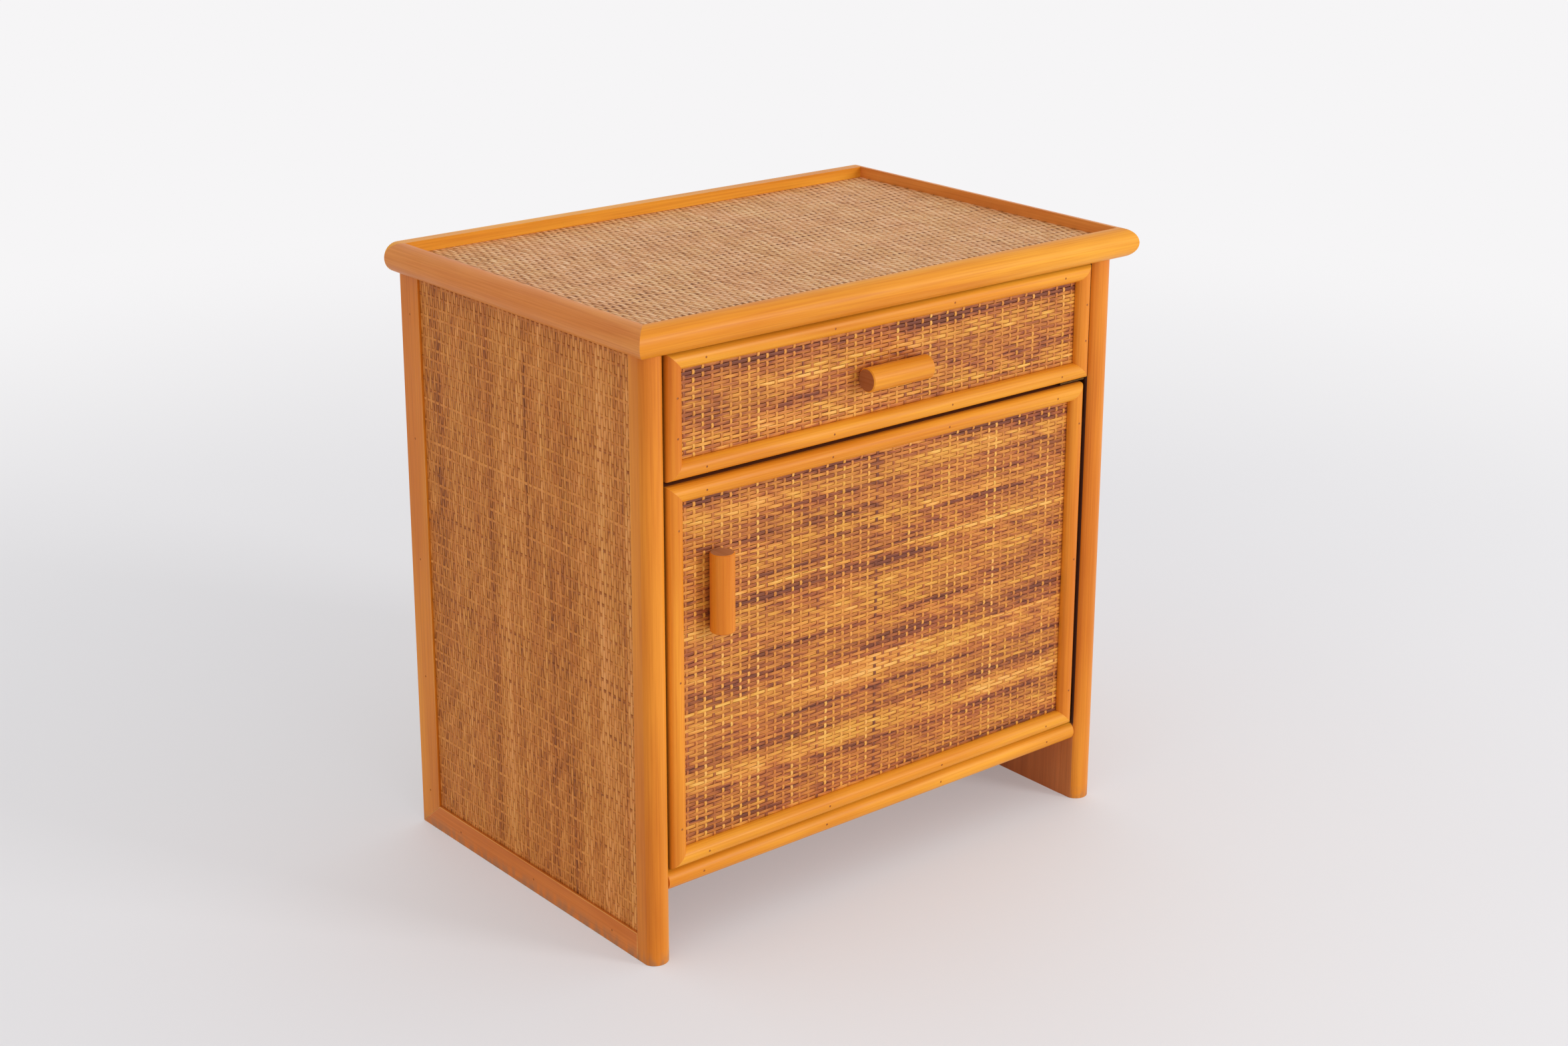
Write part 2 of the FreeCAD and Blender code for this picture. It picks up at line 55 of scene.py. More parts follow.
# %% [markdown]
# ## Camera
# A product picture is taken from a little above and to the left of the front, with a short telephoto
# lens, so that the top, the left side and the front all show. The camera could be aimed by a constraint.
# Turning it by a heading, a tilt and a small roll keeps the framing repeatable.

# %% Camera
camera_place = Vector((-1.4285, -1.7519, 1.1091))
camera_heading = math.radians(39.598)
camera_tilt = math.radians(17.514)
camera_roll = math.radians(0.150)
camera_lens = 57.654
camera_shift = -0.06
film_width = 36.0
cabinet_middle = Vector((0.0, 0.0, 0.3))

lens = bpy.data.cameras.new("camera")
lens.sensor_width = film_width
lens.lens = camera_lens
lens.shift_y = camera_shift
camera = bpy.data.objects.new("camera", lens)
scene.collection.objects.link(camera)
turn = Matrix.Rotation(-camera_heading, 4, "Z")
turn = turn @ Matrix.Rotation(math.pi / 2 - camera_tilt, 4, "X")
turn = turn @ Matrix.Rotation(camera_roll, 4, "Z")
camera.matrix_world = Matrix.Translation(camera_place) @ turn
scene.camera = camera
print("camera", round((camera_place - cabinet_middle).length, 2), "m from the cabinet")

# %% [markdown]
# ## Node helpers
# A finish is a small tree of shader nodes. Wiring one by hand takes four lines a node, so a few helpers
# do it: they add a node and fill or link its sockets, mix colours, calculate, set up a colour ramp and
# stretch a noise. Node groups could do the same, but plain functions are easier to read side by side.


# %% Node helpers
def srgb(red, green, blue):
    """Colour given as 0 to 255 on a screen, as the linear colour that a shader needs."""
    def linear(value):
        share = value / 255
        return share / 12.92 if share <= 0.04045 else ((share + 0.055) / 1.055) ** 2.4
    return (linear(red), linear(green), linear(blue), 1.0)


def fill(tree, socket, value):
    """Link a socket to another one, or set its value."""
    if isinstance(value, bpy.types.NodeSocket):
        tree.links.new(value, socket)
    else:
        socket.default_value = value


def add_node(tree, kind, settings=(), **inputs):
    """Add a node with the given settings and inputs; an input's underscores stand for spaces."""
    node = tree.nodes.new("ShaderNode" + kind)
    for key, value in dict(settings).items():
        setattr(node, key, value)
    for key, value in inputs.items():
        fill(tree, node.inputs[key.replace("_", " ")], value)
    return node


def mix_colour(tree, factor, first, second, blend="MIX"):
    """Mix two colours; a Mix node keeps its colours at sockets 6 and 7 and the result at 2."""
    node = add_node(tree, "Mix", {"data_type": "RGBA", "blend_type": blend})
    for index, value in ((0, factor), (6, first), (7, second)):
        fill(tree, node.inputs[index], value)
    return node.outputs[2]


def math_node(tree, operation, first, second=0.0, clamp=False):
    """Calculate with two numbers and return the result's socket."""
    node = add_node(tree, "Math", {"operation": operation, "use_clamp": clamp})
    fill(tree, node.inputs[0], first)
    fill(tree, node.inputs[1], second)
    return node.outputs[0]


def ramp(tree, factor, stops):
    """Colour ramp through (place, colour) stops; returns the colour socket."""
    node = add_node(tree, "ValToRGB", Fac=factor)
    elements = node.color_ramp.elements
    elements[0].position, elements[0].color = stops[0]
    elements[1].position, elements[1].color = stops[-1]
    for place, colour in stops[1:-1]:
        elements.new(place).color = colour
    return node.outputs[0]


def new_finish(name):
    """Material with an untouched Principled shader; returns material, tree and shader."""
    finish = bpy.data.materials.new(name)
    finish.use_nodes = True
    return finish, finish.node_tree, finish.node_tree.nodes["Principled BSDF"]


def stretched_noise(tree, scale, detail=3.0, rough=0.5):
    """Noise on object coordinates with a frequency, in features per metre, for each axis."""
    place = add_node(tree, "TexCoord").outputs["Object"]
    mapped = add_node(tree, "Mapping", Vector=place, Scale=scale).outputs[0]
    return add_node(tree, "TexNoise", Vector=mapped, Scale=1.0, Detail=detail, Roughness=rough).outputs[0]


# %% [markdown]
# ## Floor and light
# The cabinet stands on a plain pale floor under soft studio light. A lamp far in front on the right, at
# the height of a person's eyes, lights the drawer and the door; the bright surroundings fill the left
# side, and a weak lamp near the floor reaches under the rail. A white backdrop could stand behind.
# Letting the floor fade to white with the distance is simpler: it does so for the camera and for
# reflections only, so that no light is added and the shadow stays. A share of that white near the
# cabinet keeps its shadow pale.

# %% Floor
floor_radius = 14.0
floor_sides = 96
floor_shape = bmesh.new()
bmesh.ops.create_circle(floor_shape, cap_ends=True, segments=floor_sides, radius=floor_radius)
floor_mesh = bpy.data.meshes.new("floor")
floor_shape.to_mesh(floor_mesh)
floor_shape.free()
floor = bpy.data.objects.new("floor", floor_mesh)
scene.collection.objects.link(floor)
print("floor of", floor_radius, "m radius with", floor_sides, "sides")

# %% Finish of the floor
white = srgb(246, 245, 246)
floor_shade = srgb(232, 232, 235)
floor_pale = srgb(238, 238, 240)
floor_cloud_scale = (0.8, 0.8, 0.8)
fade_start = 0.7
fade_end = 2.6
near_share = 0.25


def seen_directly(tree):
    """1 for what the camera sees directly, in a reflection or through glass, and 0 for light."""
    ray = add_node(tree, "LightPath").outputs
    mirrored = math_node(tree, "MAXIMUM", ray["Is Glossy Ray"], ray["Is Transmission Ray"])
    return math_node(tree, "MAXIMUM", ray["Is Camera Ray"], mirrored)


floor_finish, floor_tree, floor_shader = new_finish("studio_floor")
floor_cloud = stretched_noise(floor_tree, floor_cloud_scale, detail=2.0)
floor_colour = ramp(floor_tree, floor_cloud, ((0.3, floor_shade), (0.7, floor_pale)))
fill(floor_tree, floor_shader.inputs["Base Color"], floor_colour)
floor_shader.inputs["Roughness"].default_value = 0.7
floor_place = add_node(floor_tree, "TexCoord").outputs["Object"]
distance = add_node(floor_tree, "VectorMath", {"operation": "LENGTH"}, Vector=floor_place).outputs["Value"]
far = add_node(floor_tree, "MapRange", {"interpolation_type": "SMOOTHSTEP"}, Value=distance,
               From_Min=fade_start, From_Max=fade_end, To_Min=near_share).outputs[0]
backdrop = add_node(floor_tree, "Emission", Color=white, Strength=1.0)
backdrop_share = math_node(floor_tree, "MULTIPLY", far, seen_directly(floor_tree))
blend = add_node(floor_tree, "MixShader", Fac=backdrop_share)
fill(floor_tree, blend.inputs[1], floor_shader.outputs[0])
fill(floor_tree, blend.inputs[2], backdrop.outputs[0])
fill(floor_tree, floor_tree.nodes["Material Output"].inputs["Surface"], blend.outputs[0])
floor_mesh.materials.append(floor_finish)
print("floor white to the camera from", fade_end, "m outwards")

# %% Light
surround_strength = 0.825
world = bpy.data.worlds.new("studio")
scene.world = world
world.use_nodes = True
sky = world.node_tree.nodes["Background"]
sky.inputs["Color"].default_value = white
level = add_node(world.node_tree, "MapRange", Value=seen_directly(world.node_tree),
                 To_Min=surround_strength, To_Max=1.0)
fill(world.node_tree, sky.inputs["Strength"], level.outputs[0])


def soft_lamp(name, place, aim, size, watts):
    """Square area lamp that points at a place."""
    data = bpy.data.lights.new(name, "AREA")
    data.size = size
    data.energy = watts
    lamp = bpy.data.objects.new(name, data)
    scene.collection.objects.link(lamp)
    lamp.location = place
    lamp.rotation_euler = (aim - place).to_track_quat("-Z", "Y").to_euler()


key_place = Vector((2.11, -3.97, 1.72))
key_size = 1.2
key_watts = 72.0
low_place = Vector((-0.6, -3.4, 0.35))
low_aim = Vector((0.0, 0.0, 0.05))
low_size = 1.4
low_watts = 9.0
soft_lamp("key_lamp", key_place, cabinet_middle, key_size, key_watts)
soft_lamp("low_lamp", low_place, low_aim, low_size, low_watts)
scene.view_settings.view_transform = "Standard"
print("surroundings at", surround_strength, "and lamps of", key_watts, "and", low_watts, "watts")

# %% [markdown]
# ## Honey-coloured wood
# Posts, nosings, strips, frames and handles are straight-grained wood, stained honey orange and
# lacquered. A picture of wood could be wrapped round them, but it would stretch on the round noses.
# Noise that is pulled long in the direction of the grain runs through the wood instead, as real fibres
# do. There is one finish for each direction of the grain: sticks differ, and here the level ones across
# the front are the yellowest and the upright ones deeper. The low strips of the sides are redder still.
# What stands on the floor is scuffed and grimy over its lowest few millimetres.

# %% Honey-coloured wood
AXES = "xyz"
X, Y, Z = range(3)


def along_axis(axis, across_grain, with_grain):
    """Noise frequency for each axis, low in the direction of the grain."""
    return tuple(with_grain if index == axis else across_grain for index in range(3))


def height_above_floor(tree):
    """Height of a point, which is Z because every piece keeps its place in its mesh."""
    place = add_node(tree, "TexCoord").outputs["Object"]
    return add_node(tree, "SeparateXYZ", Vector=place).outputs["Z"]


# %% Scuffed feet
foot_height = 14 * MM
foot_grime = srgb(158, 112, 78)
scuff_strength = 0.8
scuff_scale = (130.0, 130.0, 60.0)


def foot_scuffs(tree, colour):
    """Dull, patchy grime on the lowest part of what stands on the floor."""
    near = add_node(tree, "MapRange", Value=height_above_floor(tree), From_Max=foot_height,
                    To_Min=scuff_strength, To_Max=0.0).outputs[0]
    patch = stretched_noise(tree, scuff_scale, detail=3.0)
    share = add_node(tree, "MapRange", Value=patch, From_Min=0.36, From_Max=0.6).outputs[0]
    return mix_colour(tree, math_node(tree, "MULTIPLY", near, share), colour, foot_grime)


# %% Lacquered wood
UNCHANGED = (1.0, 1.0, 1.0, 1.0)
ring_scale = (34.0, 2.6)
fibre_scale = (620.0, 9.0)
fibre_shade = (0.86, 0.76, 0.60, 1.0)
stain_scale = (12.0, 5.0)
stain_shade = (0.90, 0.84, 0.78, 1.0)
gloss_cloud_scale = (45.0, 45.0, 45.0)
lacquer_shine = 0.24


def honey_wood(name, axis, light, deep, roughness):
    """Lacquered wood with its grain along one axis."""
    finish, tree, shader = new_finish(name)
    tone = stretched_noise(tree, along_axis(axis, *ring_scale), detail=3.0)
    body = ramp(tree, tone, ((0.36, deep), (0.64, light)))
    fibre = stretched_noise(tree, along_axis(axis, *fibre_scale), detail=4.0, rough=0.6)
    streak = ramp(tree, fibre, ((0.34, fibre_shade), (0.6, UNCHANGED)))
    colour = mix_colour(tree, 0.85, body, streak, "MULTIPLY")
    stain = stretched_noise(tree, along_axis(axis, *stain_scale), detail=2.0)
    depth = ramp(tree, stain, ((0.36, stain_shade), (0.6, UNCHANGED)))
    colour = mix_colour(tree, 0.8, colour, depth, "MULTIPLY")
    fill(tree, shader.inputs["Base Color"], foot_scuffs(tree, colour))
    cloud = stretched_noise(tree, gloss_cloud_scale, detail=3.0)
    gloss = add_node(tree, "MapRange", Value=cloud, To_Min=roughness - 0.06, To_Max=roughness + 0.08)
    fill(tree, shader.inputs["Roughness"], gloss.outputs[0])
    relief = add_node(tree, "Bump", Strength=0.12, Distance=0.4 * MM, Height=fibre)
    fill(tree, shader.inputs["Normal"], relief.outputs[0])
    shader.inputs["Specular IOR Level"].default_value = lacquer_shine
    return finish


# %% Wood finishes, each with a light and a deep tone
honey_tones = (
    (srgb(248, 174, 52), srgb(230, 144, 34)),
    (srgb(243, 163, 76), srgb(223, 134, 56)),
    (srgb(240, 154, 46), srgb(220, 126, 30)))
worn_tones = (srgb(248, 188, 108), srgb(230, 146, 58))
end_tones = (srgb(188, 120, 74), srgb(158, 94, 52))
# Paler, greyer end grain for the door handle's upward end: painted light and sheen from above.
sheen_painted_tones = (srgb(206, 148, 106), srgb(178, 122, 82))
low_tones = (srgb(224, 130, 50), srgb(204, 106, 34))
honey = [honey_wood(f"honey_wood_{AXES[axis]}", axis, *honey_tones[axis], 0.40) for axis in (X, Y, Z)]
worn = [honey_wood(f"worn_wood_{AXES[axis]}", axis, *worn_tones, 0.55) for axis in (X, Y, Z)]
end_grain = honey_wood("end_grain", Y, *end_tones, 0.45)
sheen_painted_end = honey_wood("sheen_painted_end_grain", Y, *sheen_painted_tones, 0.6)
low_strip = honey_wood("low_strip_wood", Y, *low_tones, 0.45)
print("wood finishes:", [finish.name for finish in honey + worn + [end_grain, sheen_painted_end, low_strip]])

# %% [markdown]
# ## Softened mouldings
# Sanded and lacquered wood has no knife edges, and a mitre shows as a fine groove because both ends are
# eased. The solids have sharp edges. A Bevel modifier would also round the tiny pin holes, so a copy of
# each solid is merged into whole faces and only its long sharp edges are bevelled. The bevels take a
# paler, worn finish, because that is where lacquer rubs through. The sawn ends of the two handles drank
# more stain and are brown; the upright one's top end is paler and greyer, as painted light and sheen
# from above.


# %% Softened mouldings
def to_object(name, shape, finishes, body):
    """Turn a bmesh into a piece that rides on a body."""
    mesh = bpy.data.meshes.new(name)
    shape.to_mesh(mesh)
    shape.free()
    for finish in finishes:
        mesh.materials.append(finish)
    piece = bpy.data.objects.new(name, mesh)
    scene.collection.objects.link(piece)
    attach(piece, body)
    return piece


# %% Eased edges
edge_ease = 0.5 * MM
merge_distance = 0.002 * MM
flat_angle = math.radians(0.4)
sharp_angle = math.radians(32)
crease_angle = math.radians(40)
shortest_edge = 0.9 * MM
FACE_SLOT, EDGE_SLOT, SPECIAL_SLOT = range(3)


def softened(node, body, axis):
    """Copy of a wooden solid with its long sharp edges eased."""
    shape = bmesh.new()
    shape.from_mesh(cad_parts[node].data)
    bmesh.ops.remove_doubles(shape, verts=shape.verts, dist=merge_distance)
    bmesh.ops.dissolve_limit(shape, angle_limit=flat_angle, verts=shape.verts, edges=shape.edges)
    for face in shape.faces:
        face.material_index = FACE_SLOT
    sharp = [edge for edge in shape.edges
             if edge.is_manifold and edge.calc_face_angle() > sharp_angle
             and edge.calc_length() > shortest_edge]
    eased = bmesh.ops.bevel(
        shape, geom=sharp, offset=edge_ease, offset_type="OFFSET", affect="EDGES", segments=2,
        profile=0.5, material=-1, clamp_overlap=True)
    for face in eased["faces"]:
        face.material_index = EDGE_SLOT
    for face in shape.faces:
        face.smooth = True
    for edge in shape.edges:
        edge.smooth = not (edge.is_manifold and edge.calc_face_angle() > crease_angle)
    piece = to_object("soft_" + node, shape, (honey[axis], worn[axis]), body)
    piece.modifiers.new("flat_faces", "WEIGHTED_NORMAL").keep_sharp = True
    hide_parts(node)
    return piece


mouldings = (
    ("carcass", X, ("top_front_nosing", "top_back_strip", "bottom_rail")),
    ("carcass", Y, ("top_left_nosing", "top_right_nosing", "left_bottom_strip", "right_bottom_strip")),
    ("carcass", Z, ("left_front_post", "right_front_post", "left_back_strip", "right_back_strip")),
    ("drawer", X, ("drawer_frame_top", "drawer_frame_bottom", "drawer_handle")),
    ("drawer", Z, ("drawer_frame_left", "drawer_frame_right")),
    ("door", X, ("door_frame_top", "door_frame_bottom")),
    ("door", Z, ("door_frame_left", "door_frame_right", "door_handle")))
wooden = [softened(node, body, axis) for body, axis, nodes in mouldings for node in nodes]
print(len(wooden), "wooden pieces with eased edges,",
      sum(len(piece.data.polygons) for piece in wooden), "faces")

# %% Sawn ends and low strips
end_facing = 0.98
for handle, axis, finish in (("drawer_handle", X, end_grain), ("door_handle", Z, sheen_painted_end)):
    data = bpy.data.objects["soft_" + handle].data
    data.materials.append(finish)
    for face in data.polygons:
        if abs(face.normal[axis]) > end_facing:
            face.material_index = SPECIAL_SLOT
for strip in ("left_bottom_strip", "right_bottom_strip"):
    bpy.data.objects["soft_" + strip].data.materials[FACE_SLOT] = low_strip
print("sawn ends on two handles, and two low strips in", low_strip.name)

# %% [markdown]
# ## Woven mats
# The facing is a plain weave. Narrow weavers lie side by side and pass over and under flat stakes that
# stand about ten millimetres apart. A bump map of checks could hint at it, but light would not catch the
# strands from the side. So each strand is a closed tube: one grid holds all strands of a direction, the
# faces between strands are deleted, and each strip is rolled into a low rounded section that follows
# the wave of the weave. The weavers lie nearly straight and the stakes bend round them.

# %% Strip of grid for each strand
# Points of a strand's section: half widths to either side, and heights above its lower edge.
SECTION = ((-1.0, 0.35), (-0.7, 0.85), (0.0, 1.0), (0.7, 0.85), (1.0, 0.35))


def strand_grid(strands, steps):
    """Flat grid with one strip of faces for each strand and a gap after each."""
    rows = len(SECTION) + 1
    shape = bmesh.new()
    bmesh.ops.create_grid(shape, x_segments=steps, y_segments=strands * rows - 1, size=1.0)
    column_step = 2.0 / steps
    row_step = 2.0 / (strands * rows - 1)
    for vert in shape.verts:
        vert.co = (round((vert.co.x + 1) / column_step), round((vert.co.y + 1) / row_step), 0)
    gaps = [face for face in shape.faces
            if min(vert.co.y for vert in face.verts) % rows == rows - 1]
    bmesh.ops.delete(shape, geom=gaps, context="FACES_ONLY")
    loose = [edge for edge in shape.edges if not edge.link_faces]
    bmesh.ops.delete(shape, geom=loose, context="EDGES")
    return shape


# %% [markdown]
# ## Tone of the strands
# No two strands have the same colour. Bark left on the cane makes long dark stretches, peeled cane makes
# pale ones, and each strand changes a little along its length. A number for each point, from 0 for pale
# peel to 1 for dark bark, keeps all of that in one place. It could be painted by hand, but sums of slow
# random waves give the same patchy look, and a few streaks are listed one by one.


# %% Tone of the strands
def clouds(dice, along, across, reach_along, reach_across, waves=12):
    """Soft random field around 0 that changes over the two reaches, in metres."""
    total = np.zeros_like(along)
    for turn_along, turn_across, phase in dice.uniform(-1, 1, (waves, 3)):
        turns = along * turn_along / reach_along + across * turn_across / reach_across + phase
        total += np.sin(2 * math.pi * turns)
    return total * math.sqrt(2 / waves)


end_steepness = 40
ripple_share = 0.5
ripple_limits = (0.2, 1.8)


def streaks_at(streaks, across, along, ripple):
    """Darkening by listed streaks; all places are shares of the mat."""
    total = np.zeros_like(across)
    uneven = np.clip(1 + ripple_share * ripple, *ripple_limits)
    for place, width, strength, start, end in streaks:
        reach = np.exp(-((across - place) / width) ** 2)
        starts = 1 / (1 + np.exp(-(along - start) * end_steepness))
        ends = 1 / (1 + np.exp((along - end) * end_steepness))
        total += strength * reach * starts * ends * uneven
    return total


# %% Sum of all tones
band_width = 30 * MM
blotch_reach = (45 * MM, 25 * MM)
mottle_reach = (24 * MM, 4 * MM)
ripple_reach = (160 * MM, 20 * MM)
fine_waves = 24


def strand_tone(dice, wave, strand, along, across, depth):
    """Tone of every point; depth is 1 where a strand dives or turns down at its edges, as painted shade.
    """
    own = dice.normal(0, 1, wave["count"])[strand]
    tone = wave["tone"] + wave["own"] * own + wave["depth"] * depth
    tone = tone + wave["bands"] * clouds(dice, along, across, wave["band_reach"], band_width)
    tone = tone + wave["blotch"] * clouds(dice, along, across, *blotch_reach, fine_waves)
    tone = tone + wave["mottle"] * clouds(dice, along, across, *mottle_reach, fine_waves)
    ripple = clouds(dice, along, across, *ripple_reach)
    tone = tone + streaks_at(wave["streaks"], across / wave["span"], along / wave["length"], ripple)
    return np.clip(tone, 0, 1)


# %% Rolled and waved strands
def flat_strands(mesh, steps):
    """Strand number, step and place in the section of every point of a strand grid."""
    flat = np.empty(len(mesh.vertices) * 3)
    mesh.vertices.foreach_get("co", flat)
    flat = flat.reshape(-1, 3).round().astype(int)
    rows = len(SECTION) + 1
    around = flat[:, 1] % rows % len(SECTION)
    return flat[:, 1] // rows, flat[:, 0] / steps, np.array(SECTION)[around]


strand_height = 0.42 * MM
mat_middle = 0.90 * MM
slow_sway = 110 * MM
quick_sway = 41 * MM
quick_share = 0.6
sway_share = 0.02
width_swing = 0.05
lean_share = 0.012
dive_shade_power = 1.5
edge_shade = 0.2


def roll_strands(name, mat, steps, wave):
    """All strands of one direction of a mat, rolled and waved."""
    shape = strand_grid(wave["count"], steps)
    mesh = bpy.data.meshes.new(name)
    shape.to_mesh(mesh)
    shape.free()
    strand, share, section = flat_strands(mesh, steps)
    dice = np.random.RandomState(wave["seed"])
    swing = dice.uniform(-1, 1, (wave["count"], 4))[strand].T
    along = share * wave["length"]
    pitch = wave["span"] / wave["count"]
    slow = np.sin(2 * math.pi * (along / slow_sway + swing[0]))
    quick = np.sin(2 * math.pi * (along / quick_sway + swing[1]))
    sway = slow + quick_share * quick
    width = wave["width"] * (1 + width_swing * swing[2])
    across = (strand + 0.5 + sway_share * sway) * pitch + section[:, 0] * width / 2
    across = np.clip(across, 0, wave["span"])
    side = np.where(strand % 2 == 0, 1.0, -1.0) * wave["sign"]
    rise = side * np.cos(math.pi * (along / wave["cross_pitch"] - 0.5))
    lean = lean_share * width * section[:, 0] * swing[3]
    height = mat_middle + wave["lift"] * rise + section[:, 1] * strand_height + lean
    place = np.empty((len(strand), 3))
    place[:, wave["axis"]] = mat["low"][wave["axis"]] + along
    place[:, wave["cross_axis"]] = mat["low"][wave["cross_axis"]] + across
    place[:, mat["out_axis"]] = mat["base"] + mat["out_sign"] * height
    mesh.vertices.foreach_set("co", place.ravel())
    # Painted shade: a strand darkens where it dives under a crossing strand and where its section turns
    # down at its edges.
    depth = (0.5 - 0.5 * rise) ** dive_shade_power + edge_shade * (1 - section[:, 1])
    layer = mesh.attributes.new("tone", "FLOAT", "POINT")
    layer.data.foreach_set("value", strand_tone(dice, wave, strand, along, across, depth))
    chart = mesh.uv_layers.new(name="OFBake")
    corner = np.empty(len(mesh.loops), dtype=np.int32)
    mesh.loops.foreach_get("vertex_index", corner)
    flat_map = np.stack((along, across), axis=1)[corner] / max(wave["span"], wave["length"])
    chart.data.foreach_set("uv", flat_map.ravel())
    return mesh


# %% Closed strands
weld_distance = 0.0001 * MM


def close_strands(name, mesh, finish, body):
    """Weld each rolled strip into a tube, cap its ends and make it a piece."""
    shape = bmesh.new()
    shape.from_mesh(mesh)
    bpy.data.meshes.remove(mesh)
    bmesh.ops.remove_doubles(shape, verts=shape.verts, dist=weld_distance)
    rims = [edge for edge in shape.edges if edge.is_boundary]
    bmesh.ops.holes_fill(shape, edges=rims, sides=len(SECTION))
    bmesh.ops.recalc_face_normals(shape, faces=shape.faces)
    for face in shape.faces:
        face.smooth = len(face.verts) == 4
    return to_object(name, shape, (finish,), body)


# %% [markdown]
# ## Rattan finish
# Rattan peel runs from pale straw to a deep red brown where bark is left on. The tone that each point
# carries picks a colour from a ramp, and fine noise along the strand adds its fibres. Wide patches lean
# to pink or to olive, as bundles of cane differ. The lacquer brushed over the mats gives a soft shine.
# Each strand could have a material of its own; one ramp for a whole mat is lighter and easier to tune.

# %% Rattan finish
strand_fibre_scale = (1500.0, 45.0)
strand_blotch_scale = (330.0, 70.0)
bundle_scale = (55.0, 11.0)
grain_share = 0.30


def rattan(name, axis, stops, tints, shine):
    """Lacquered rattan strands with fibres along one axis."""
    finish, tree, shader = new_finish(name)
    tone = add_node(tree, "Attribute", {"attribute_name": "tone"}).outputs["Fac"]
    fibre = stretched_noise(tree, along_axis(axis, *strand_fibre_scale), detail=3.0, rough=0.6)
    blotch = stretched_noise(tree, along_axis(axis, *strand_blotch_scale), detail=2.0)
    shifted = math_node(tree, "ADD", tone, math_node(tree, "MULTIPLY", fibre, grain_share))
    shifted = math_node(tree, "ADD", shifted, math_node(tree, "MULTIPLY", blotch, grain_share))
    shifted = math_node(tree, "SUBTRACT", shifted, grain_share, clamp=True)
    patch = stretched_noise(tree, along_axis(axis, *bundle_scale), detail=2.0)
    tint = ramp(tree, patch, ((0.36, tints[0]), (0.64, tints[1])))
    colour = mix_colour(tree, 1.0, ramp(tree, shifted, stops), tint, "MULTIPLY")
    fill(tree, shader.inputs["Base Color"], colour)
    gloss = add_node(tree, "MapRange", Value=blotch, To_Min=0.36, To_Max=0.58)
    fill(tree, shader.inputs["Roughness"], gloss.outputs[0])
    relief = add_node(tree, "Bump", Strength=0.25, Distance=0.3 * MM, Height=fibre)
    fill(tree, shader.inputs["Normal"], relief.outputs[0])
    shader.inputs["Specular IOR Level"].default_value = shine
    return finish


# %% Rattan colours, from pale peel to dark bark
front_colours = (
    (0.0, srgb(242, 184, 96)), (0.25, srgb(228, 158, 64)), (0.5, srgb(204, 127, 52)),
    (0.75, srgb(168, 92, 46)), (1.0, srgb(118, 60, 38)))
side_colours = (
    (0.0, srgb(238, 164, 90)), (0.3, srgb(222, 144, 66)), (0.6, srgb(196, 116, 42)),
    (0.8, srgb(164, 90, 28)), (1.0, srgb(122, 62, 18)))
# The top's ramp is paler and pinker than the others: the cane's own colours with painted sheen from above
# in them.
top_colours_with_painted_sheen = (
    (0.0, srgb(248, 202, 152)), (0.3, srgb(232, 174, 118)), (0.6, srgb(204, 142, 86)),
    (0.8, srgb(166, 106, 54)), (1.0, srgb(124, 70, 30)))
strong_tints = ((1.0, 0.93, 0.96, 1), (0.97, 1.0, 0.84, 1))
mild_tints = ((1.0, 0.96, 0.97, 1), (0.99, 1.0, 0.93, 1))
print("rattan colours:", len(front_colours), "steps each for fronts, sides and top")

# %% [markdown]
# ## The five mats
# All mats are cut from the same cloth, with the weavers level on the fronts, upright on the sides and
# running front to back on the top. The fronts have the strongest streaks: whole bundles of dark or pale
# strands. A streak is given by its place and width across the weavers, its darkening, and where it
# starts and ends along them, all as shares of the mat.

# %% Streaks
WHOLE = (-0.2, 1.2)
door_streaks = (
    (0.990, 0.010, 0.42, *WHOLE), (0.970, 0.014, 0.25, 0.78, 1.2), (0.945, 0.020, -0.14, *WHOLE),
    (0.905, 0.006, 0.28, 0.25, 0.55), (0.905, 0.006, 0.28, 0.75, 1.2), (0.840, 0.008, 0.30, 0.10, 0.45),
    (0.785, 0.020, 0.24, 0.33, 0.56), (0.780, 0.016, 0.20, 0.68, 1.2), (0.726, 0.006, 0.36, 0.10, 0.50),
    (0.700, 0.005, -0.26, 0.20, 1.2), (0.664, 0.012, 0.38, -0.2, 0.66), (0.600, 0.030, -0.18, *WHOLE),
    (0.503, 0.006, 0.42, -0.2, 0.95), (0.432, 0.022, 0.36, -0.2, 0.62), (0.440, 0.016, 0.28, 0.70, 1.2),
    (0.382, 0.005, -0.26, *WHOLE), (0.335, 0.018, -0.14, *WHOLE), (0.289, 0.005, 0.52, *WHOLE),
    (0.225, 0.020, 0.14, 0.20, 0.75), (0.170, 0.018, -0.16, *WHOLE), (0.125, 0.012, 0.34, 0.10, 0.60),
    (0.125, 0.010, 0.30, 0.72, 1.2), (0.101, 0.005, -0.26, 0.12, 0.52), (0.090, 0.005, 0.36, 0.12, 0.38),
    (0.066, 0.006, 0.32, -0.2, 0.28), (0.027, 0.007, 0.42, -0.2, 0.24), (0.012, 0.012, 0.20, 0.40, 1.2))
door_stake_streaks = (
    (0.055, 0.008, -0.40, *WHOLE), (0.204, 0.008, 0.30, *WHOLE), (0.272, 0.008, -0.25, *WHOLE),
    (0.356, 0.008, -0.30, *WHOLE), (0.443, 0.008, -0.25, *WHOLE), (0.480, 0.008, 0.30, *WHOLE))
drawer_streaks = (
    (0.93, 0.05, 0.36, *WHOLE), (0.88, 0.03, 0.30, 0.50, 0.70), (0.76, 0.05, -0.20, *WHOLE),
    (0.62, 0.02, -0.40, 0.10, 0.42), (0.42, 0.14, 0.40, 0.02, 0.17), (0.36, 0.10, 0.32, 0.24, 0.34),
    (0.40, 0.15, 0.36, 0.65, 0.73), (0.35, 0.16, 0.22, 0.80, 1.2), (0.13, 0.03, -0.20, *WHOLE))
